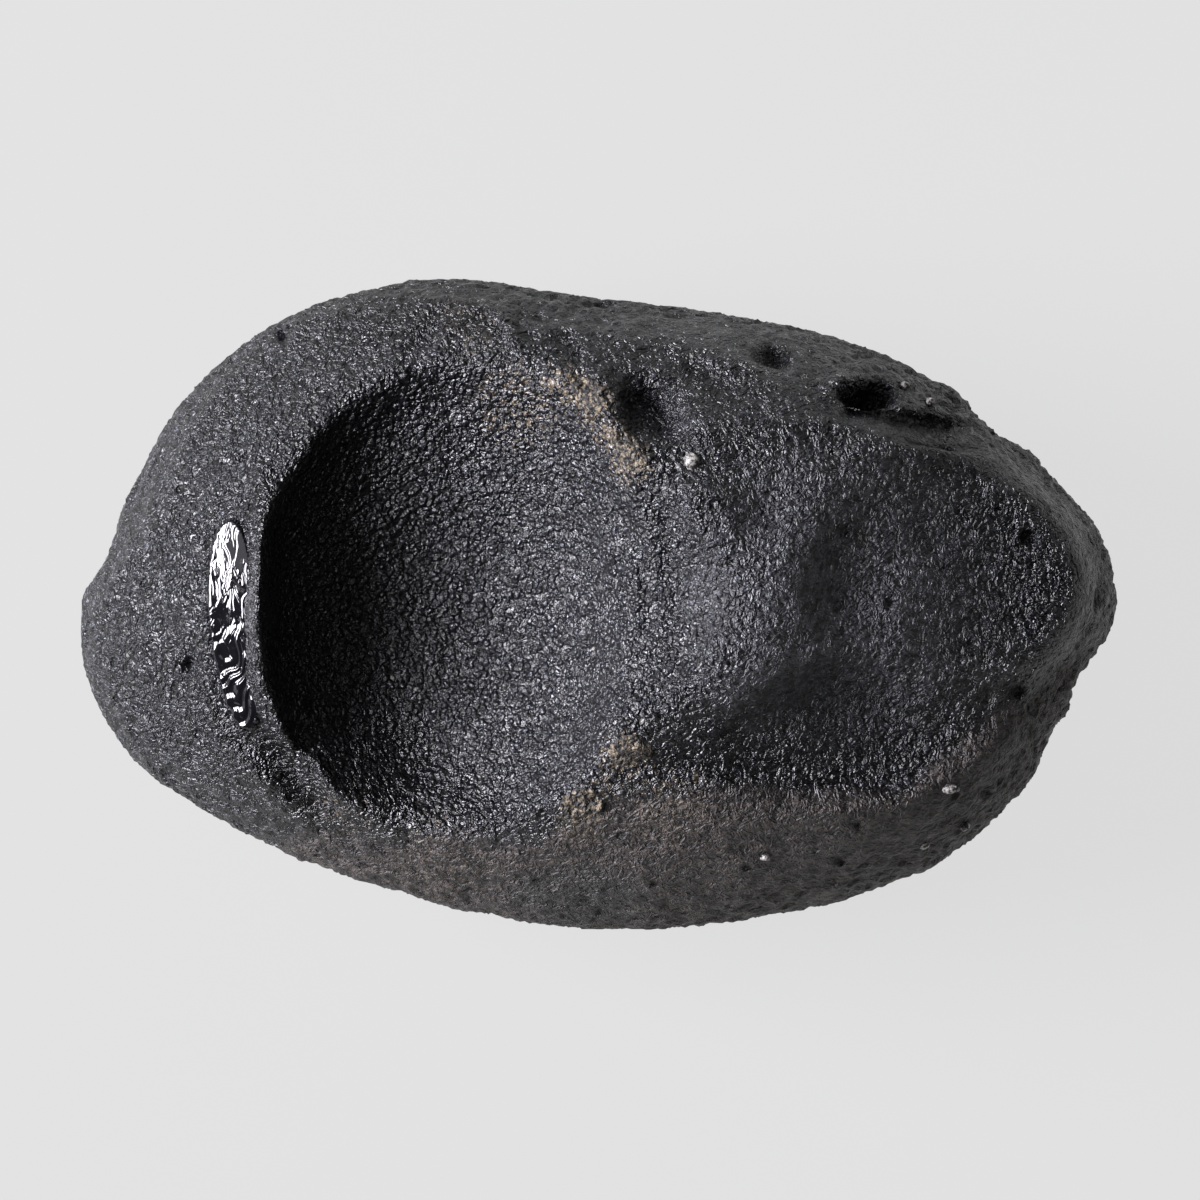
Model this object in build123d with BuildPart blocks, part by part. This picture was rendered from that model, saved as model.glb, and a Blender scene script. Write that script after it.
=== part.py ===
"""A palm-sized black volcanic massage stone, lying on its worn base with its hollows up.

The stone is 90 mm long, along X. A deep thumb hollow takes up its left half and a shallow finger
hollow its right half, with a saddle-shaped ridge between them, and the front shoulder is worn into
a slope. A lens of black glass, pale crystal grains and ochre crusts are seated in the upper side,
each one a solid that fills its own pocket in the stone. Sizes are in millimetres; +Z is up and the
origin is the middle of the bounding box's bottom.
"""

import os

from build123d import *

# ---- driving sizes ----
LENGTH = 90.0
WIDTH = 56.6

HALF_LENGTH = LENGTH / 2
HALF_WIDTH = WIDTH / 2

# The shape of every level, seen from above, counter-clockwise from the right-hand tip.
# Each point is a share of the level's half length and of its half width.
OUTLINE = [
    (1.00, 0.01), (0.965, 0.21), (0.85, 0.415), (0.715, 0.60), (0.505, 0.785), (0.22, 0.89),
    (-0.08, 0.95), (-0.31, 0.995), (-0.55, 0.915), (-0.72, 0.755), (-0.855, 0.50), (-0.93, 0.25),
    (-1.00, -0.02), (-0.985, -0.24), (-0.905, -0.47), (-0.70, -0.69), (-0.41, -0.875), (-0.12, -0.98),
    (0.12, -1.00), (0.415, -0.93), (0.665, -0.78), (0.85, -0.495), (0.935, -0.22),
]

# The stone's levels: height, then where the level ends on the left, right, front and back.
LEVELS = [
    (0.0, -26.0, 27.0, -16.0, 16.5),
    (1.5, -33.0, 33.5, -20.5, 20.5),
    (4.5, -38.7, 38.8, -24.3, 24.0),
    (9.0, -43.0, 43.0, -27.0, 26.5),
    (14.5, -HALF_LENGTH, HALF_LENGTH, -HALF_WIDTH, HALF_WIDTH),
    (20.0, -43.6, 43.8, -26.6, 27.6),
    (25.0, -40.5, 41.6, -23.2, 25.6),
    (29.0, -36.0, 38.2, -19.0, 22.6),
    (32.5, -29.5, 33.0, -13.8, 18.5),
    (35.0, -20.0, 27.0, -8.0, 13.5),
    (36.4, -7.0, 20.0, -3.0, 8.0),
]


def level_points(left, right, front, back):
    """The outline's points, fitted between a level's four ends."""
    middle_x, middle_y = (left + right) / 2, (front + back) / 2
    half_x, half_y = (right - left) / 2, (back - front) / 2
    return [(middle_x + across * half_x, middle_y + along * half_y) for across, along in OUTLINE]


def scoop(middle, half_sizes, turn):
    """An ellipsoid with these half sizes, turned about X, Y and Z and then set at its middle."""
    return scale(Sphere(1), by=half_sizes).locate(Location(middle, turn))


def seated(surface, across, along, half_sizes, turn):
    """An ellipsoid half sunk in the surface above (across, along).

    Its half sizes run along the surface, over it and through it; turn spins it about the normal.
    """
    hits = surface.find_intersection_points(Axis((across, along, 60), (0, 0, -1)))
    point, normal = max(hits, key=lambda hit: hit[0].Z)
    seat = Plane(origin=point, x_dir=Vector(1, 0, -normal.X / normal.Z), z_dir=normal)
    return seat.location * Rot(0, 0, turn) * scale(Sphere(1), by=half_sizes)


# ---- worn hollows ----
dome = scoop((4.0, 1.0, 0.0), (58.0, 36.0, 36.4), (0, 0, 0))
thumb_scoop = scoop((-12.8, 1.6, 37.0), (18.0, 26.0, 14.5), (5, -24, -6))
finger_scoop = scoop((34.5, 1.0, 41.6), (23.0, 31.0, 14.3), (0, 19, -6))
front_scoop = scoop((27.0, -12.8, 41.6), (28.0, 11.5, 15.3), (4, 12, 13))
ridge_scoop = scoop((-2.5, 1.0, 46.2), (19.0, 22.0, 14.5), (4, 0, -6))

# ---- round notches in the outline: middle and radius ----
NOTCHES = [
    ((38.0, 19.9, 16.0), 6.6),
    ((-46.9, 5.9, 16.0), 5.0),
    ((46.9, -8.4, 16.0), 6.0),
]

# ---- pits in the surface: place seen from above, half sizes, turn ----
PITS = [
    (4.3, 16.9, (2.7, 3.1, 1.7), 0),
    (23.0, 18.2, (3.0, 1.9, 2.8), 12),
    (14.8, 21.3, (1.9, 1.6, 1.3), 0),
    (0.0, 26.0, (1.5, 1.1, 1.0), 0),
    (29.2, 14.4, (5.4, 1.1, 1.7), -4),
    (-35.3, -5.3, (0.8, 1.1, 0.9), 0),
    (-27.5, 23.4, (1.2, 0.9, 0.9), 30),
    (37.0, 5.6, (0.9, 0.9, 0.8), 0),
    (43.2, 0.4, (0.8, 1.2, 0.8), 0),
]

# ---- inclusions: place seen from above, half sizes, turn ----
GLASS_LENS = (-31.7, -3.2, (2.1, 9.9, 1.6), 2)
OCHRE_CRUSTS = [
    (-0.6, 18.0, (2.2, 1.5, 0.7), -40),
    (2.4, 12.4, (1.6, 2.6, 0.7), 20),
    (2.6, -12.6, (1.9, 1.6, 0.7), 0),
    (-1.6, -17.2, (2.0, 1.6, 0.7), 30),
]
PALE_GRAINS = [
    (7.8, 12.1, (0.8, 0.9, 0.7), 0),
    (26.2, 18.8, (0.8, 0.5, 0.5), 10),
    (28.4, 17.4, (0.6, 0.5, 0.5), 0),
    (30.1, -15.9, (1.0, 0.5, 0.5), 15),
    (31.5, -19.2, (0.7, 0.5, 0.5), 0),
    (28.0, -20.8, (0.6, 0.5, 0.5), 0),
    (14.2, -21.7, (0.6, 0.5, 0.4), 0),
]

with BuildPart() as pebble:
    for height, left, right, front, back in LEVELS:
        with BuildSketch(Plane.XY.offset(height)):
            with BuildLine():
                Spline(*level_points(left, right, front, back), periodic=True)
            make_face()
    loft()

with BuildPart() as blank:
    add(pebble.part)
    add(dome, mode=Mode.INTERSECT)
    for hollow in (thumb_scoop, ridge_scoop, finger_scoop, front_scoop):
        add(hollow, mode=Mode.SUBTRACT)
    for middle, radius in NOTCHES:
        with Locations(middle):
            Sphere(radius, mode=Mode.SUBTRACT)

pits = [seated(blank.part, *pit) for pit in PITS]
lens_pocket = seated(blank.part, *GLASS_LENS)
crust_pockets = [seated(blank.part, *crust) for crust in OCHRE_CRUSTS]
grains = [seated(blank.part, *grain) for grain in PALE_GRAINS]

with BuildPart() as stone_body:
    add(blank.part)
    for pocket in (*pits, lens_pocket, *crust_pockets, *grains):
        add(pocket, mode=Mode.SUBTRACT)

os.makedirs("parts", exist_ok=True)
stone_body.part.label = "stone_body"
export_step(stone_body.part, "parts/stone_body.step")

with BuildPart() as glass_lens:
    add(blank.part)
    add(lens_pocket, mode=Mode.INTERSECT)
glass_lens.part.label = "glass_lens"
export_step(glass_lens.part, "parts/glass_lens.step")

for number, pocket in enumerate(crust_pockets, start=1):
    with BuildPart() as ochre_crust:
        add(blank.part)
        add(pocket, mode=Mode.INTERSECT)
    ochre_crust.part.label = f"ochre_crust_{number}"
    export_step(ochre_crust.part, f"parts/ochre_crust_{number}.step")

for number, grain in enumerate(grains, start=1):
    with BuildPart() as pale_grain:
        add(grain)
    pale_grain.part.label = f"pale_grain_{number}"
    export_step(pale_grain.part, f"parts/pale_grain_{number}.step")
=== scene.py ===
"""A black volcanic massage stone with a deep thumb hollow, lying on a pale floor.

The stone's skin is remeshed from the CAD solids and then worn, pitted and grained. A chip of black
glass, ochre crusts and pale crystals are pieces of their own, each in its CAD solid's place.
Lengths in the tables are in millimetres; the model itself is in metres.
"""
import math
import random
from types import SimpleNamespace

import bmesh
import bpy
import numpy as np
from mathutils import Matrix, Vector, noise
from mathutils.bvhtree import BVHTree


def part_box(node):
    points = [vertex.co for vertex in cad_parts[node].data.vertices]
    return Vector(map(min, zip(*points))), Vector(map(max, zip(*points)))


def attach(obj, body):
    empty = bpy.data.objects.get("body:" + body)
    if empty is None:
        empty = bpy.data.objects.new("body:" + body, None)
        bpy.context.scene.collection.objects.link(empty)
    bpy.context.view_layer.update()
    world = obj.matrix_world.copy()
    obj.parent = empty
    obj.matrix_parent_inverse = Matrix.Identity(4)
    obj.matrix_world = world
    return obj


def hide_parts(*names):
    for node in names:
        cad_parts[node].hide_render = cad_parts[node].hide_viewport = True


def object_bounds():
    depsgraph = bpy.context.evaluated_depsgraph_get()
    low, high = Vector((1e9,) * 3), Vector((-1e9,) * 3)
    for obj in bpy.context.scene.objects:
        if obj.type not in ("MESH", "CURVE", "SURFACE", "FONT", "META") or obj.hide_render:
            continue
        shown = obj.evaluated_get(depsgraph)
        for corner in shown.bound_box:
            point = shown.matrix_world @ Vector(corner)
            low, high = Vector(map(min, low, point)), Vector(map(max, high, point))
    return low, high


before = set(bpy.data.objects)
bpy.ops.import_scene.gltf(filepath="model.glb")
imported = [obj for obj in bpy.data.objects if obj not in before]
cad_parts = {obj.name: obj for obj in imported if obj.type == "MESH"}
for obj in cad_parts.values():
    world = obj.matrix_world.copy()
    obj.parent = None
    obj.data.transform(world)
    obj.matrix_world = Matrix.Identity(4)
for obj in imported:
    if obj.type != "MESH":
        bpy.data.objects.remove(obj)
cad_low, cad_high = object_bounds()

MM = 0.001

# The noise that bends the folds is the same in every run.
noise.seed_set(5)

# ---- view and light ----
OUTLINE_HEIGHT = 14.5 * MM
VIEW_WIDTH = 104.5 * MM
CAMERA_DISTANCE = 0.80
CAMERA_ALONG = 0.35 * MM
SENSOR = 36.0

# ---- skins: face sizes and heights in millimetres, and smoothing steps ----
STONE_CELL = 0.42
GLASS_CELL = 0.10
CRUST_CELL = 0.16
ROUNDING_STEPS = 85
STEPS_ALL_OVER = 6
WORN_ABOVE = 14.0
BOX_MARGIN = 0.01
ABOVE_ALL = 60.0
CRUST_LIFT = 0.02
CRUST_DEPTH = 0.5


# ======================================================================= shader maths

class Wire:
    """A shader value that ordinary sums work on; each sum adds its Math node."""

    def __init__(self, finish, socket):
        self.finish = finish
        self.socket = socket

    def maths(self, operation, *values):
        return self.finish.node("ShaderNodeMath", {"operation": operation}, dict(enumerate(values)))

    def __add__(self, other):
        return self.maths("ADD", self, other)

    def __radd__(self, other):
        return self.maths("ADD", other, self)

    def __sub__(self, other):
        return self.maths("SUBTRACT", self, other)

    def __rsub__(self, other):
        return self.maths("SUBTRACT", other, self)

    def __mul__(self, other):
        return self.maths("MULTIPLY", self, other)

    def __rmul__(self, other):
        return self.maths("MULTIPLY", other, self)

    def __truediv__(self, other):
        return self.maths("DIVIDE", self, other)

    def __pow__(self, other):
        return self.maths("POWER", self, other)

    def __abs__(self):
        return self.maths("ABSOLUTE", self)

    def least(self, other):
        return self.maths("MINIMUM", self, other)

    def most(self, other):
        return self.maths("MAXIMUM", self, other)

    def rise(self, low, high):
        """0 below low and 1 above high, with a smooth step between them."""
        settings = {"interpolation_type": "SMOOTHSTEP"}
        values = {"Value": self, "From Min": low, "From Max": high}
        return self.finish.node("ShaderNodeMapRange", settings, values)


class Finish:
    """A material whose pattern lies on Object coordinates, counted in millimetres."""

    def __init__(self, name, **constants):
        self.material = bpy.data.materials.new(name)
        self.material.use_nodes = True
        self.tree = self.material.node_tree
        self.shader = self.tree.nodes["Principled BSDF"]
        for socket, value in constants.items():
            self.shader.inputs[socket.replace("_", " ")].default_value = value
        place = self.node("ShaderNodeTexCoord", output="Object")
        self.place = self.node("ShaderNodeVectorMath", {"operation": "SCALE"}, {0: place, "Scale": 1 / MM})

    def node(self, kind, settings=None, values=None, output=0):
        """A node of this type with its settings made first, then the values or links of its sockets."""
        made = self.tree.nodes.new(kind)
        for name, setting in (settings or {}).items():
            if name == "stops":
                self.set_stops(made.color_ramp, setting)
            else:
                setattr(made, name, setting)
        for name, value in (values or {}).items():
            if isinstance(value, Wire):
                self.tree.links.new(value.socket, made.inputs[name])
            else:
                made.inputs[name].default_value = value
        return Wire(self, made.outputs[output])

    def set_stops(self, ramp, stops):
        while len(ramp.elements) < len(stops):
            ramp.elements.new(1.0)
        for element, (position, colour) in zip(ramp.elements, stops):
            element.position = position
            element.color = (*colour, 1.0)

    def feed(self, socket, value):
        self.tree.links.new(value.socket, self.shader.inputs[socket])

    def axis(self, letter):
        return self.node("ShaderNodeSeparateXYZ", values={0: self.place}, output=letter)

    def moved(self, scale=(1, 1, 1), turn=(0, 0, 0), shift=(0, 0, 0)):
        values = {"Vector": self.place, "Scale": scale, "Rotation": turn, "Location": shift}
        return self.node("ShaderNodeMapping", values=values)

    def cloud(self, size, detail=3.0, roughness=0.55, distortion=0.0, at=None):
        """Noise from 0 to 1 whose features are about this many millimetres across."""
        values = {"Vector": at or self.place, "Scale": 1 / size, "Detail": detail,
                  "Roughness": roughness, "Distortion": distortion}
        return self.node("ShaderNodeTexNoise", values=values)

    def cells(self, size, feature="F1", smoothness=0.0, randomness=1.0, at=None, output="Distance"):
        """Distance to the nearest of scattered points about this many millimetres apart."""
        values = {"Vector": at or self.place, "Scale": 1 / size, "Randomness": randomness}
        if feature == "SMOOTH_F1":
            values["Smoothness"] = smoothness
        return self.node("ShaderNodeTexVoronoi", {"feature": feature}, values, output)

    def blend(self, share, first, second):
        """A colour between two, each a colour or a wire."""
        values = {"Factor": share, 6: self.opaque(first), 7: self.opaque(second)}
        return self.node("ShaderNodeMix", {"data_type": "RGBA"}, values, output=2)

    def opaque(self, colour):
        return colour if isinstance(colour, Wire) else (*colour, 1.0)

    def bump(self, height, strength=1.0):
        """Tilts the surface by a height in millimetres."""
        values = {"Height": height, "Distance": MM, "Strength": strength}
        self.feed("Normal", self.node("ShaderNodeBump", values=values, output="Normal"))


# ======================================================================= mesh work

def coordinates(mesh):
    """A mesh's vertices in millimetres, and their normals."""
    count = len(mesh.vertices)
    places, normals = np.empty(count * 3), np.empty(count * 3)
    mesh.vertices.foreach_get("co", places)
    mesh.vertex_normals.foreach_get("vector", normals)
    return places.reshape(-1, 3) / MM, normals.reshape(-1, 3)


def settle(mesh, places):
    mesh.vertices.foreach_set("co", (places * MM).ravel())
    mesh.update()


def evened(name, nodes, cell):
    """One even skin over these CAD nodes, with faces of this size."""
    rough = bmesh.new()
    for node in nodes:
        rough.from_mesh(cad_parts[node].data)
    bmesh.ops.remove_doubles(rough, verts=rough.verts, dist=0.0005 * MM)
    source = bpy.data.meshes.new(name + "_source")
    rough.to_mesh(source)
    rough.free()
    holder = bpy.data.objects.new(name + "_holder", source)
    bpy.context.scene.collection.objects.link(holder)
    remesh = holder.modifiers.new("even", "REMESH")
    remesh.mode = "VOXEL"
    remesh.voxel_size = cell * MM
    skin = bpy.data.meshes.new_from_object(holder.evaluated_get(bpy.context.evaluated_depsgraph_get()))
    bpy.data.objects.remove(holder)
    return skin


def largest_shell(shell):
    """Deletes every loose shell of a bmesh but the largest."""
    left = set(shell.verts)
    shells = []
    while left:
        queue = [left.pop()]
        found = set(queue)
        while queue:
            for edge in queue.pop().link_edges:
                for vert in edge.verts:
                    if vert in left:
                        left.discard(vert)
                        found.add(vert)
                        queue.append(vert)
        shells.append(found)
    shells.sort(key=len)
    for small in shells[:-1]:
        bmesh.ops.delete(shell, geom=list(small), context="VERTS")


def finished(name, mesh, finish, slot, *nodes):
    """The mesh as a piece of the object, in the place of these CAD nodes."""
    for face in mesh.polygons:
        face.use_smooth = True
    mesh.materials.clear()
    mesh.materials.append(finish.material)
    piece = bpy.data.objects.new(name, mesh)
    bpy.context.scene.collection.objects.link(piece)
    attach(piece, "root")
    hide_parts(*nodes)
    return piece


# ======================================================================= the stone

CRUSTS = sorted(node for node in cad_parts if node.startswith("ochre_crust"))
GRAINS = sorted(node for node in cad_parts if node.startswith("pale_grain"))

# Strokes that shape the upper side: place, reach along and across, turn, and rise.
STROKES = [
    # the ridge: its crest, the knob behind, and the crease that runs down its left face
    (9.0, -4.5, (2.6, 3.6), 30, 0.6),
    (9.0, 7.4, (2.2, 3.0), 0, 1.5),
    (2.1, 7.2, (0.7, 2.4), 22, -0.9),
    (3.8, 1.6, (0.6, 4.4), 4, -0.35),
    (5.6, 4.6, (0.6, 3.4), 8, -0.3),
    (0.6, 4.0, (0.6, 4.0), 10, 0.3),
    (14.6, 8.8, (2.0, 3.0), 0, -0.5),
    # the deep pit behind the ridge, undercut on its right
    (3.2, 17.8, (2.2, 2.6), -40, -1.0),
    (5.6, 15.8, (1.3, 2.6), 35, -1.3),
    (0.4, 18.6, (0.9, 3.4), 25, 0.7),
    (8.4, 15.2, (1.6, 2.2), 35, 0.6),
    # the finger hollow's near wall, the smooth swell in it and its dents
    (18.8, 0.0, (3.6, 9.0), -6, -1.0),
    (26.4, 1.0, (3.2, 6.5), 0, 0.8),
    (31.5, 0.4, (3.0, 4.0), 0, 0.4),
    (27.5, -8.0, (3.0, 3.0), 0, 0.5),
    (36.5, -8.2, (4.0, 2.8), 35, -1.5),
    (37.0, 4.0, (2.4, 4.0), 0, 0.4),
    (9.4, -11.2, (5.0, 3.0), 14, -1.3),
    (17.6, -11.4, (4.0, 3.0), 14, 0.8),
    # the front crease, and the shelf below it
    (8.0, -13.8, (8.0, 1.2), -3, -0.5),
    (24.0, -15.4, (8.0, 1.2), 8, -0.5),
    (18.0, -18.6, (13.0, 1.8), 3, 0.35),
    (38.6, -9.6, (3.4, 1.2), 52, 0.5),
    # the fold along the back flank, and the undercut ledge at its end
    (-1.0, 23.6, (8.0, 1.3), -14, 0.6),
    (9.0, 19.6, (4.6, 1.1), -28, -0.6),
    (9.6, 21.6, (5.0, 1.1), -20, 0.5),
    (20.4, 15.6, (4.0, 0.8), 2, 0.5),
    (27.6, 15.6, (5.2, 0.8), -6, -2.2),
    (28.0, 13.9, (5.6, 0.8), -6, 0.7),
    (20.9, 19.2, (1.5, 1.2), 30, 1.3),
    (25.2, 19.9, (1.6, 0.9), -20, 1.1),
    (23.2, 17.3, (1.8, 0.7), 24, -1.8),
    (15.0, 21.2, (1.2, 1.4), 0, -0.9),
    (31.2, 18.6, (2.0, 0.8), -40, 0.5),
    # chips in the hollow's back lip
    (-15.5, 22.6, (1.6, 0.8), 40, -0.6),
    (-10.5, 24.4, (1.8, 0.8), -25, -0.6),
    (-7.5, 23.0, (2.0, 0.7), -60, 0.6),
    (-5.0, 24.8, (1.6, 0.7), -10, -0.6),
    (-2.5, 21.6, (1.6, 0.7), -40, -0.5),
    # the left flank's dents, and the glassy fold inside the hollow's front left lip
    (-42.3, 4.9, (1.4, 1.0), 20, -0.8),
    (-43.0, -2.6, (1.2, 1.6), 0, -0.5),
    (-27.2, -9.6, (0.8, 3.2), 16, 0.8),
    (-25.8, -11.6, (0.7, 3.2), 26, -1.1),
    (-24.2, -14.0, (0.8, 3.0), 36, 0.8),
    (-28.9, 0.5, (1.1, 8.0), 0, 2.0),
    (-26.2, -14.6, (5.0, 1.6), -47, -1.9),
    (-28.2, -16.2, (5.0, 0.8), -47, 0.4),
    (-16.5, -12.5, (6.0, 2.6), -22, -0.9),
    (-17.5, 15.5, (5.0, 2.5), 30, -0.7),
    (-29.9, 3.2, (0.5, 5.0), 0, -0.5),
]

# Dents and swellings anywhere on the skin: middle, reach, and rise along the surface's normal.
DENTS = [
    (33.6, 15.4, 16.0, 1.7, -0.9), (30.8, 18.2, 16.0, 2.2, 0.35), (37.2, 12.6, 15.0, 2.4, 0.3),
    (-43.4, 3.7, 15.0, 1.4, -0.6), (-44.4, -0.6, 15.0, 2.4, 0.25), (41.7, -6.4, 15.0, 1.4, -0.7),
    (39.3, -12.0, 15.0, 1.7, -0.7), (40.6, -9.2, 15.0, 1.0, 0.3), (-41.4, 9.4, 16.0, 1.6, 0.3),
    (-36.6, -16.0, 14.0, 2.0, -0.3), (-16.0, 26.6, 18.0, 2.0, -0.4), (-11.6, 27.2, 19.0, 1.8, 0.35),
    (-5.4, 26.6, 19.0, 1.4, -0.4), (2.0, 26.6, 19.0, 1.5, 0.3), (26.4, 21.8, 18.0, 1.6, 0.3),
    (35.4, -17.4, 14.0, 1.8, -0.3), (27.8, -22.2, 14.0, 1.8, 0.25), (-26.0, -22.0, 14.0, 2.0, 0.25),
    (44.0, 2.6, 15.0, 1.4, -0.35), (43.0, 7.6, 15.0, 1.6, 0.25),
]

# Round bubbles open at the surface: place and radius; each has a raised edge.
BUBBLES = [
    (5.6, 7.2, 0.55), (6.9, 5.0, 0.5), (8.1, 3.2, 0.45), (-35.3, -5.3, 0.75), (-34.5, -11.1, 0.55),
    (-36.9, -11.1, 0.5), (-27.2, 23.2, 0.8), (-33.4, 20.4, 0.5), (-38.2, 6.0, 0.5), (36.8, 5.7, 0.9),
    (20.8, 6.4, 0.5), (24.7, 0.1, 0.6), (35.9, -7.5, 0.7), (33.0, -16.1, 0.75), (30.5, -16.4, 0.5),
    (34.0, 8.2, 0.45), (31.2, 7.6, 0.45), (38.4, 8.0, 0.4), (42.4, -2.0, 0.6), (27.4, -8.2, 0.4),
    (-6.8, -23.6, 0.6), (4.6, -24.0, 0.45), (12.6, -22.6, 0.5), (20.6, -22.0, 0.6), (0.2, 25.6, 0.7),
    (10.6, 25.2, 0.7), (-21.6, -18.6, 0.45), (22.0, -18.9, 0.45), (14.4, -26.0, 0.6), (-3.6, 26.6, 0.6),
    (17.2, 9.6, 0.4), (29.4, 3.2, 0.4), (39.6, 2.2, 0.45), (31.8, -3.4, 0.4), (-30.6, 12.6, 0.45),
]

# Ragged places, broken into folds a millimetre or two across: place, reach, turn, and how much.
RAGGED = [
    (-9.0, 23.6, (9.0, 2.4), 4, 1.6), (1.0, 17.0, (2.4, 6.0), 40, 1.2), (4.0, 3.0, (3.0, 8.0), 6, 0.7),
    (-25.5, -12.5, (1.8, 5.0), 24, 1.4), (-18.0, -19.0, (7.0, 2.0), -22, 1.0),
    (29.0, 17.0, (8.0, 3.0), -20, 1.2),
    (-28.5, 12.0, (1.2, 6.0), -40, 0.9), (-2.0, -17.0, (4.0, 3.0), 30, 0.9), (40.0, -9.0, (3.0, 3.0), 0, 1.0),
]

# Places whose edges are worn round: place, reach along and across, turn, and how much.
WORN = [
    (4.0, -2.0, (4.5, 15.0), -6, 1.0),
    (-8.0, 20.0, (12.0, 3.5), 8, 0.6),
    (24.0, -3.0, (13.0, 13.0), 0, 1.0),
    (-12.0, -18.5, (10.0, 3.0), 0, 0.4),
]


def stroke_share(places, across, along, reach, turn):
    """1 at a stroke's middle, falling off smoothly over its oval reach."""
    angle = math.radians(turn)
    off_x, off_y = places[:, 0] - across, places[:, 1] - along
    run = (off_x * math.cos(angle) + off_y * math.sin(angle)) / reach[0]
    side = (off_y * math.cos(angle) - off_x * math.sin(angle)) / reach[1]
    return np.exp(-(run ** 2 + side ** 2))


def round_off(skin):
    """Smooths the whole skin a little, and the worn places more."""
    places, _ = coordinates(skin)
    edges = np.empty(len(skin.edges) * 2, dtype=int)
    skin.edges.foreach_get("vertices", edges)
    ends = np.concatenate([edges.reshape(-1, 2), edges.reshape(-1, 2)[:, ::-1]])
    links = np.bincount(ends[:, 0], minlength=len(places))[:, None]
    wear = np.zeros(len(places))
    for across, along, reach, turn, amount in WORN:
        wear = np.maximum(wear, amount * stroke_share(places, across, along, reach, turn))
    wear *= places[:, 2] > WORN_ABOVE
    for step in range(ROUNDING_STEPS):
        share = 0.5 * (wear if step >= STEPS_ALL_OVER else np.ones(len(places)))
        sums = np.stack([np.bincount(ends[:, 0], places[ends[:, 1], k], len(places)) for k in range(3)], 1)
        places += share[:, None] * (sums / links - places)
    settle(skin, places)


def stone_skin():
    """The stone with its inclusions' pockets filled, evened and rounded."""
    skin = evened("stone", ["stone_body", "glass_lens", *CRUSTS], STONE_CELL)
    shell = bmesh.new()
    shell.from_mesh(skin)
    largest_shell(shell)
    shell.to_mesh(skin)
    shell.free()
    round_off(skin)
    return skin


def wear_stone(skin):
    """Moves the strokes, the glass chip's seat, the dents and the bubbles into the skin."""
    places, normals = coordinates(skin)
    facing_up = np.clip(normals[:, 2] * 2, 0, 1)
    for across, along, reach, turn, rise in STROKES:
        places[:, 2] += rise * facing_up * stroke_share(places, across, along, reach, turn)
    seat = ((places[:, 0] + 31.8) / 1.8) ** 2 + ((places[:, 1] + 1.8) / 10.4) ** 2
    places[:, 2] -= 0.5 * facing_up * np.clip(1.5 - 1.5 * seat, 0, 1)
    for *middle, reach, rise in DENTS:
        share = np.exp(-(((places - middle) / reach) ** 2).sum(1))
        places += normals * (rise * share)[:, None]
    pick = random.Random(5)
    for across, along, radius in BUBBLES:
        slant, squeeze = pick.uniform(0, math.pi), pick.uniform(0.65, 1.0)
        off_x, off_y = places[:, 0] - across, places[:, 1] - along
        run = off_x * math.cos(slant) + off_y * math.sin(slant)
        side = (off_y * math.cos(slant) - off_x * math.sin(slant)) / squeeze
        off = np.hypot(run, side) / radius
        hole = 0.30 * np.exp(-((off - 1.2) / 0.35) ** 2) - pick.uniform(0.5, 0.9) * np.exp(-off ** 3)
        places[:, 2] += facing_up * radius * hole
    settle(skin, places)


def grain_stone(skin):
    """Lumps and wrinkles down to about a millimetre; the finish carries the finer ones."""
    places, normals = coordinates(skin)
    rough = 0.55 + 1.2 * np.clip((25 - places[:, 2]) / 8, 0, 1)
    for across, along, reach, turn, amount in RAGGED:
        rough += amount * stroke_share(places, across, along, reach, turn)
    depth = np.empty(len(places))
    for index, place in enumerate(places):
        spot = Vector(place)
        lumps = 0.24 * noise.noise(spot / 6) + 0.12 * noise.noise(spot / 2.6)
        bent = spot / 1.5 + 0.5 * noise.noise_vector(spot / 2.2)
        folds = 0.5 - abs(noise.noise(bent)) * 2 + 0.35 - abs(noise.noise(bent * 2.1)) * 1.4
        depth[index] = lumps + 0.16 * rough[index] * (folds - 0.2)
    places += normals * depth[:, None]
    low, high = (np.array(corner) / MM for corner in (cad_low, cad_high))
    settle(skin, np.clip(places, low + BOX_MARGIN, high - BOX_MARGIN))


# Ochre stains round the crusts: place, reach and strength.
OCHRE_STAINS = [
    (-3.0, 18.8, 2.6, 1.0), (-0.6, 16.8, 2.2, 1.0), (1.0, 14.4, 2.2, 1.1), (2.8, 12.0, 2.4, 1.2),
    (-7.0, 17.0, 5.0, 0.55), (-11.0, 24.0, 4.0, 0.35), (2.0, -13.0, 2.6, 1.1), (0.8, -15.4, 2.2, 0.7),
    (-1.8, -18.6, 2.8, 0.9), (6.0, -17.0, 5.0, 0.55), (-14.0, -22.0, 6.0, 0.35), (-22.0, -18.0, 4.0, 0.35),
]


# Painted shade (share above 0) and painted light (below 0), darkening and lightening the stone where light
# falls less or more: place, reach, and share.
PAINTED_SHADE_AND_LIGHT_PLACES = [
    (-19.0, -18.0, (8.0, 4.5), 0.55), (-25.5, -15.5, (4.0, 4.5), 0.75), (-29.0, -13.0, (3.0, 3.5), 0.5),
    (-14.0, -15.0, (7.0, 4.5), 0.6), (-16.0, 26.0, (12.0, 4.5), 0.6), (20.0, 1.0, (13.0, 13.0), -0.38),
    (17.0, 0.5, (4.0, 8.0), -0.3), (13.5, -7.0, (4.0, 4.5), -0.35), (26.5, 0.0, (2.6, 5.0), -0.2),
]
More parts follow.
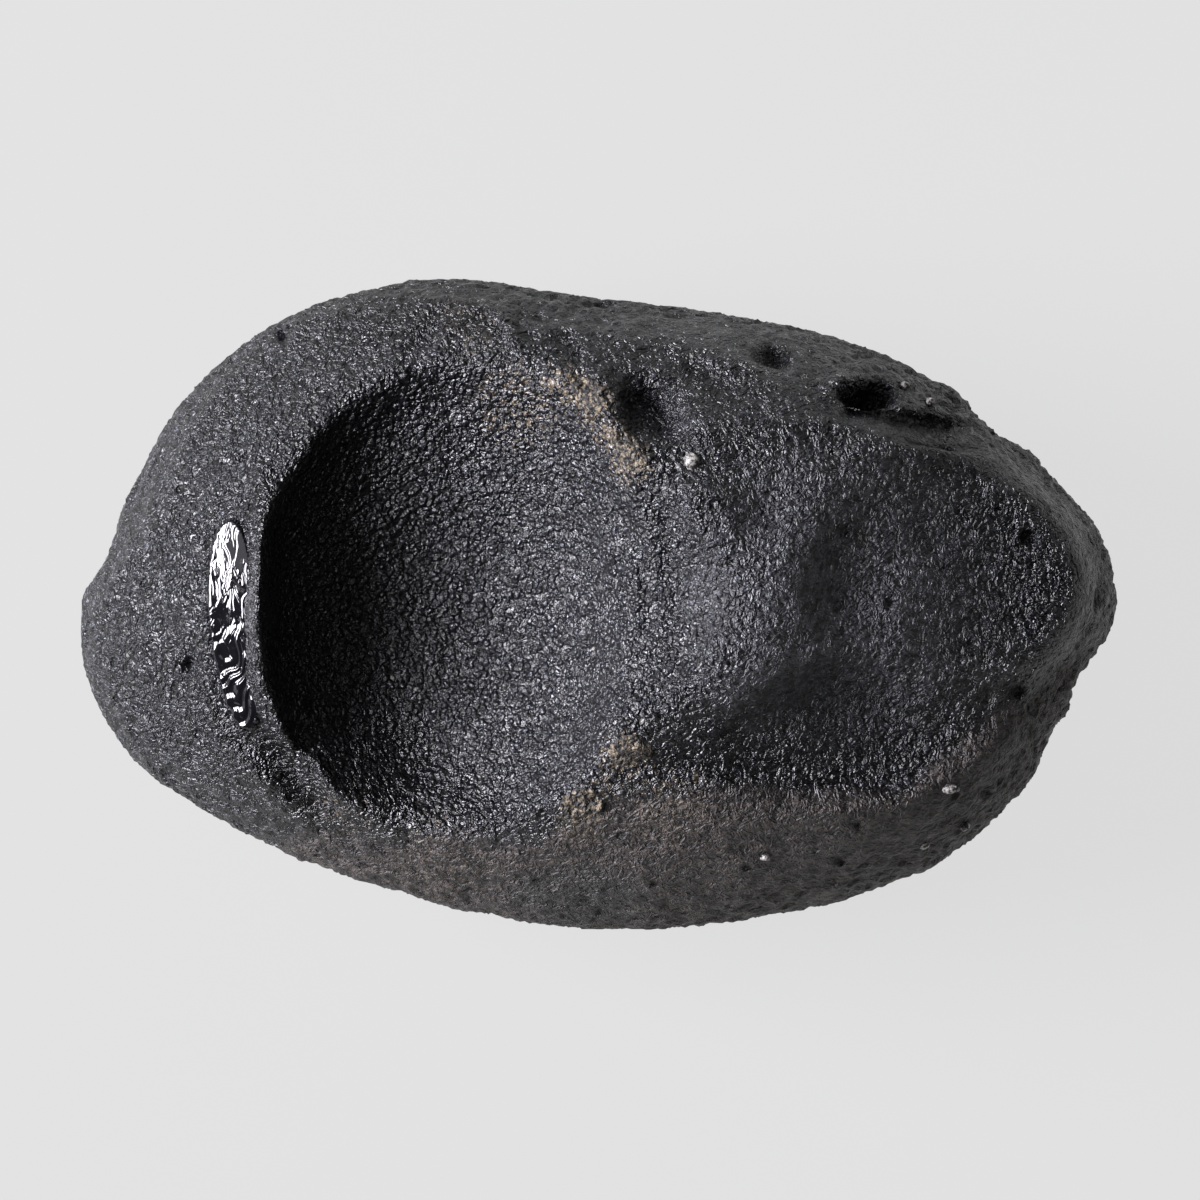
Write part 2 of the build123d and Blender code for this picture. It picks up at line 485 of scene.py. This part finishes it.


# Colours of the stone's skin; the first runs from painted crevice shade to painted glints, and two are
# painted shade and painted light.
STONE_CREVICE_SHADE_TO_GLINT = [
    (0.0, (0.0006, 0.0006, 0.0009)), (0.35, (0.003, 0.0031, 0.0040)),
    (0.7, (0.013, 0.0138, 0.0175)), (1.0, (0.105, 0.111, 0.132)),
]
BROWN_STONE = (0.005, 0.0038, 0.0031), (0.082, 0.064, 0.055)
# the colours of painted shade and of painted light
PAINTED_SHADE_COLOUR = (0.0015, 0.0015, 0.0018)
PAINTED_LIGHT_COLOUR = (0.082, 0.083, 0.094)
PALE_SPECK = (0.26, 0.25, 0.23)
OCHRE_STAIN = (0.160, 0.128, 0.088)


def stone_texture(finish):
    """Where the hollows, the front flank and the beads are, and the fine relief in millimetres."""
    x, y = finish.axis("X"), finish.axis("Y")
    hollow = 1 - (((x + 10.0) / 20.0) ** 2 + ((y - 1.6) / 23.0) ** 2 + finish.cloud(4.0) * 0.4).rise(0.6, 1.4)
    edge = (x - 26.0).most(0) * 0.8 - 15.4 + (x - 2.0).least(0).most(-7.0) * 0.6
    front = (edge - y + finish.cloud(6.0) * 4.0).rise(1.6, 4.0)

    shake = finish.node("ShaderNodeTexNoise", values={"Vector": finish.place, "Scale": 1.6, "Detail": 2.0},
                        output="Color")
    wander = finish.node("ShaderNodeVectorMath", {"operation": "MULTIPLY_ADD"},
                         {0: shake, 1: (0.7, 0.7, 0.7), 2: finish.place})
    off = finish.cells(0.55, at=wander)
    tint = finish.node("ShaderNodeSeparateColor", values={0: finish.cells(0.55, at=wander, output="Color")})
    beads = (1 - off * off * 2.2).most(0)
    worms = (1 - abs(finish.cloud(0.90, 2.0, 0.55, 1.0) - 0.5) * 7).most(0)
    grit = finish.cloud(0.30, 2.0, 0.6)
    streaks = finish.cloud(0.50, 3.0, 0.65, 0.5, at=finish.moved(scale=(0.42, 1, 1), turn=(0, 0, 0.10)))
    patches = finish.cloud(2.6, 2.0).rise(0.35, 0.65)
    relief = beads * (hollow * 0.10 + patches * 0.06 + 0.09) * (1 - front * 0.5)
    relief = relief + worms * (0.17 - front * 0.05) * (1 - hollow * 0.6) + grit * 0.13
    relief = relief + streaks * front * 0.30
    # open pits, dented into the relief; the stone's finish also paints them black as the shade inside them
    pores_and_pore_shade = 1 - (finish.cells(3.1) + finish.cloud(0.6) * 0.10).rise(0.12, 0.20)
    relief = relief - pores_and_pore_shade * (1 - hollow) * 0.35
    return SimpleNamespace(relief=relief, beads=beads, worms=worms, grit=grit, tint=tint, front=front,
                           pores_and_pore_shade=pores_and_pore_shade, patches=patches, streaks=streaks, hollow=hollow)


def stained(finish, colour):
    """The colour with ochre flecks round the crusts."""
    x, y = finish.axis("X"), finish.axis("Y")
    nearby = 0.0
    for across, along, reach, strength in OCHRE_STAINS:
        off = ((x - across) / reach) ** 2 + ((y - along) / reach) ** 2
        nearby = ((1 - off) * strength).most(nearby)
    flecks = (finish.cloud(0.45, 3.0, 0.65) + nearby * 0.13).rise(0.58, 0.72) * nearby.rise(0.0, 0.4)
    return finish.blend(flecks * 0.8, colour, OCHRE_STAIN)


def stone_finish():
    finish = Finish("volcanic_stone_skin", IOR=1.6)
    skin = stone_texture(finish)
    finish.bump(skin.relief, 1.0)
    x, y = finish.axis("X"), finish.axis("Y")
    flank = 1 - finish.axis("Z").rise(14.0, 27.0)

    # the black stone, mottled, with painted glints on the tops of its beads and folds and painted shade in
    # its crevices, and the brown front flank
    coarse = finish.cloud(0.9, 3.0, 0.6, at=finish.moved(shift=(2, 5, 8)))
    glints_mottle_and_crevice_shade = skin.beads * 0.34 + skin.worms * 0.20 + skin.grit * 1.0 + skin.tint * 0.34 - 0.52
    glints_mottle_and_crevice_shade = glints_mottle_and_crevice_shade + (coarse - 0.52) * flank * 2.4
    shade = finish.node("ShaderNodeValToRGB", {"stops": STONE_CREVICE_SHADE_TO_GLINT}, {0: glints_mottle_and_crevice_shade})
    brown = finish.blend((skin.streaks * 1.6 + skin.worms * 0.2 - 0.45).rise(0.2, 0.8), *BROWN_STONE)
    colour = finish.blend(skin.front * 0.85, shade, brown)

    # painted shade on the thumb hollow's left side, where the hollow lies in shadow, then the other painted
    # shade and painted light
    painted_wall_shade = 1 - (((x + 26.0) / 15.0) ** 2 + ((y - 2.0) / 19.0) ** 2).rise(0.0, 1.3)
    colour = finish.blend(painted_wall_shade * (skin.hollow * 2).least(1) * 0.92, colour, (0.0008, 0.0008, 0.001))
    grains = (skin.grit + skin.tint * 0.3).rise(0.45, 0.85) * 2.2
    # painted shade where the share is above 0, painted light on the pale grains where it is below 0
    for across, along, reach, share in PAINTED_SHADE_AND_LIGHT_PLACES:
        off = ((x - across) / reach[0]) ** 2 + ((y - along) / reach[1]) ** 2 + skin.patches * 0.3
        inside = (1 - off.rise(0.3, 1.4)) * abs(share)
        if share > 0:
            colour = finish.blend(inside, colour, PAINTED_SHADE_COLOUR)
        else:
            colour = finish.blend((inside * grains).least(1), colour, PAINTED_LIGHT_COLOUR)

    # a green-grey patch, ochre stains, painted shade that blackens the open pits, and clusters of pale specks
    green = (((x + 2.0) / 7.0) ** 2 + ((y + 25.0) / 3.0) ** 2 + finish.cloud(2.0) * 0.6).rise(0.5, 1.4)
    colour = finish.blend((1 - green) * 0.5, colour, (0.017, 0.021, 0.020))
    colour = finish.blend(skin.pores_and_pore_shade, stained(finish, colour), (0.001, 0.001, 0.001))
    specks = 1 - (finish.cells(2.3, at=finish.moved(shift=(7, 3, 1))) + skin.grit * 0.12).rise(0.12, 0.16)
    clusters = finish.cloud(8.0, 1.0, at=finish.moved(shift=(3, 1, 0))).rise(0.50, 0.62)
    finish.feed("Base Color", finish.blend(specks * clusters * 0.8, colour, PALE_SPECK))

    basin = 1 - (((x - 22.0) / 14.0) ** 2 + ((y - 1.0) / 14.0) ** 2).rise(0.5, 1.4)
    matt = skin.front.most(flank * 0.5).most(basin * 0.6)
    finish.feed("Roughness", 0.38 - skin.tint * 0.18 + matt * 0.28 + skin.patches * 0.06)
    return finish


# ======================================================================= the glass chip

def glass_finish():
    finish = Finish("black_volcanic_glass", Base_Color=(0.004, 0.004, 0.005, 1), IOR=1.58)
    finish.feed("Roughness", finish.cloud(0.9, 2.0).rise(0.50, 0.80) * 0.16 + 0.05)
    creases = 1 - abs(finish.cloud(1.5, 2.0, 0.5, 0.8, at=finish.moved(scale=(1.5, 0.6, 1))) - 0.5) * 9
    finish.bump(creases.most(0) * -0.022)
    return finish


def glass_skin():
    """The chip, drawn out to the back; its back half is nearly flat and its front half rippled."""
    skin = evened("glass", ["glass_lens"], GLASS_CELL)
    places, normals = coordinates(skin)
    front_end, back_end = places[:, 1].min(), places[:, 1].max()
    share = (places[:, 1] - front_end) / (back_end - front_end)
    places[:, 0] += 0.4
    places[:, 1] += share * 2.6
    for index, (x, y, z) in enumerate(places):
        if normals[index][2] < 0.2:
            continue
        bend = noise.noise(Vector((x, y * 0.6, z)) / 1.3)
        arc = math.hypot(x + 34.0, (y + 1.0) * 0.8) + 1.3 * bend
        front = min(1.0, max(0.0, (0.50 + 0.10 * bend - share[index]) * 6))
        dark = math.exp(-((x + 32.1) / 0.5) ** 2 - ((y + 1.8) / 1.4) ** 2)
        rise = 0.30 + (0.03 + 0.16 * front) * bend + 0.075 * front * math.sin(arc * 6.5)
        rise -= 0.12 * (x + 31.7) * (1 - front) + 0.10 * dark
        places[index] += normals[index] * rise
    settle(skin, places)
    return skin


# ======================================================================= crusts and crystals

def crust_finish():
    finish = Finish("ochre_mineral_crust", IOR=1.5)
    skin = stone_texture(finish)
    finish.bump(skin.relief + finish.cloud(0.5, 3.0) * 0.3)
    dark = finish.blend((skin.grit + skin.beads * 0.3).rise(0.4, 0.9), (0.003, 0.003, 0.003),
                        (0.030, 0.029, 0.028))
    ochre = finish.blend((skin.grit + skin.tint * 0.3).rise(0.35, 0.85), (0.040, 0.030, 0.020),
                         (0.235, 0.190, 0.130))
    flecks = finish.cloud(0.45, 3.0, 0.65).rise(0.45, 0.60)
    finish.feed("Base Color", finish.blend(flecks, dark, ochre))
    finish.feed("Roughness", 0.75 - skin.tint * 0.2)
    return finish


def ground(stone_tree, across, along):
    """The worn stone's height at this place, in millimetres."""
    start = Vector((across * MM, along * MM, ABOVE_ALL * MM))
    return stone_tree.ray_cast(start, Vector((0, 0, -1)))[0].z / MM


def crust_skin(node, seed, stone_tree):
    """A lumpy crust that follows the worn stone under it."""
    skin = evened(node, [node], CRUST_CELL)
    places, normals = coordinates(skin)
    middle = places.mean(0)
    reach = np.abs(places - middle).max(0)
    for index, spot in enumerate(places):
        upper = normals[index][2] > 0.1
        spot[2] = ground(stone_tree, spot[0], spot[1]) + (CRUST_LIFT if upper else -CRUST_DEPTH)
        offset = (spot - middle) / reach
        edge = 1 - min(1.0, math.hypot(offset[0], offset[1]))
        lumps = noise.noise(Vector(spot) / 0.8 + Vector((seed, 0, 0)))
        rise = 0.04 + 0.20 * lumps + 0.12 * edge
        spot += normals[index] * rise * upper
    settle(skin, places)
    return skin


def crystal_finish():
    finish = Finish("pale_crystal", IOR=1.53)
    cloudy = finish.cloud(0.35, 3.0, 0.7).rise(0.42, 0.62)
    finish.feed("Base Color", finish.blend(cloudy, (0.035, 0.034, 0.034), (0.42, 0.40, 0.365)))
    finish.feed("Roughness", cloudy * 0.3 + 0.25)
    finish.bump(finish.cloud(0.25) * 0.12)
    return finish


def crystal_skin(node, seed, stone_tree):
    """A faceted crystal of the size of the node's box, sunk towards the worn stone."""
    low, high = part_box(node)
    middle = (low + high) / 2
    middle.z = (middle.z + ground(stone_tree, middle.x / MM, middle.y / MM) * MM) / 2
    pick = random.Random(seed)
    shell = bmesh.new()
    bmesh.ops.create_icosphere(shell, subdivisions=2, radius=1.0)
    for vert in shell.verts:
        vert.co *= pick.uniform(0.72, 1.0)
    hull = bmesh.ops.convex_hull(shell, input=shell.verts)
    bmesh.ops.delete(shell, geom=[g for g in hull["geom_interior"] if isinstance(g, bmesh.types.BMVert)],
                     context="VERTS")
    bmesh.ops.bevel(shell, geom=shell.edges[:], offset=0.05, offset_type="OFFSET", segments=1, profile=0.5,
                    affect="EDGES", material=-1)
    size = (high - low) / 2
    shell.transform(Matrix.Translation(middle) @ Matrix.Diagonal((*size, 1.0)))
    bmesh.ops.recalc_face_normals(shell, faces=shell.faces)
    mesh = bpy.data.meshes.new(node + "_crystal")
    shell.to_mesh(mesh)
    shell.free()
    return mesh


# ======================================================================= build it

stone_mesh = stone_skin()
wear_stone(stone_mesh)
grain_stone(stone_mesh)
stone_tree = BVHTree.FromPolygons([vert.co for vert in stone_mesh.vertices],
                                  [face.vertices for face in stone_mesh.polygons])
finished("stone", stone_mesh, stone_finish(), "volcanic_stone", "stone_body")
finished("glass_chip", glass_skin(), glass_finish(), "black_glass", "glass_lens")
ochre = crust_finish()
for seed, node in enumerate(CRUSTS):
    finished(node.replace("ochre_", ""), crust_skin(node, seed, stone_tree), ochre, "ochre_crust", node)
crystal = crystal_finish()
for seed, node in enumerate(GRAINS):
    finished(node.replace("pale_", ""), crystal_skin(node, seed, stone_tree), crystal, "pale_crystal", node)


# ======================================================================= floor, light and camera

def floor():
    shell = bmesh.new()
    bmesh.ops.create_grid(shell, x_segments=1, y_segments=1, size=2.0)
    bmesh.ops.translate(shell, verts=shell.verts, vec=(0, 0, -0.05 * MM))
    mesh = bpy.data.meshes.new("floor")
    shell.to_mesh(mesh)
    shell.free()
    finish = Finish("pale_floor", Base_Color=(0.02, 0.02, 0.02, 1), Roughness=1.0, Emission_Strength=0.70)
    finish.shader.inputs["Emission Color"].default_value = (1, 1, 1, 1)
    mesh.materials.append(finish.material)
    plane = bpy.data.objects.new("floor", mesh)
    bpy.context.scene.collection.objects.link(plane)


def soft_light(name, direction, distance, size, power, colour=(1, 1, 1)):
    """A square soft light that looks at the stone from this direction."""
    data = bpy.data.lights.new(name, "AREA")
    data.shape = "SQUARE"
    data.size = size
    data.energy = power
    data.color = colour
    lamp = bpy.data.objects.new(name, data)
    bpy.context.scene.collection.objects.link(lamp)
    towards = Vector(direction).normalized()
    lamp.location = towards * distance
    lamp.rotation_euler = towards.to_track_quat("Z", "Y").to_euler()


floor()
soft_light("window", (-0.88, 0.12, 0.48), 0.9, 0.50, 31.5, (0.935, 0.915, 1.0))
soft_light("overhead", (-0.4, 0.25, 1.0), 1.2, 0.9, 2.8, (0.95, 0.935, 1.0))
world = bpy.data.worlds.new("studio")
bpy.context.scene.world = world
world.use_nodes = True
world.node_tree.nodes["Background"].inputs["Color"].default_value = (1, 1, 1, 1)
world.node_tree.nodes["Background"].inputs["Strength"].default_value = 0.03
bpy.context.scene.view_settings.view_transform = "Standard"

lens = bpy.data.cameras.new("camera")
lens.sensor_width = SENSOR
lens.lens = SENSOR * CAMERA_DISTANCE / VIEW_WIDTH
camera = bpy.data.objects.new("camera", lens)
bpy.context.scene.collection.objects.link(camera)
camera.location = (0.0, CAMERA_ALONG, OUTLINE_HEIGHT + CAMERA_DISTANCE)
bpy.context.scene.camera = camera
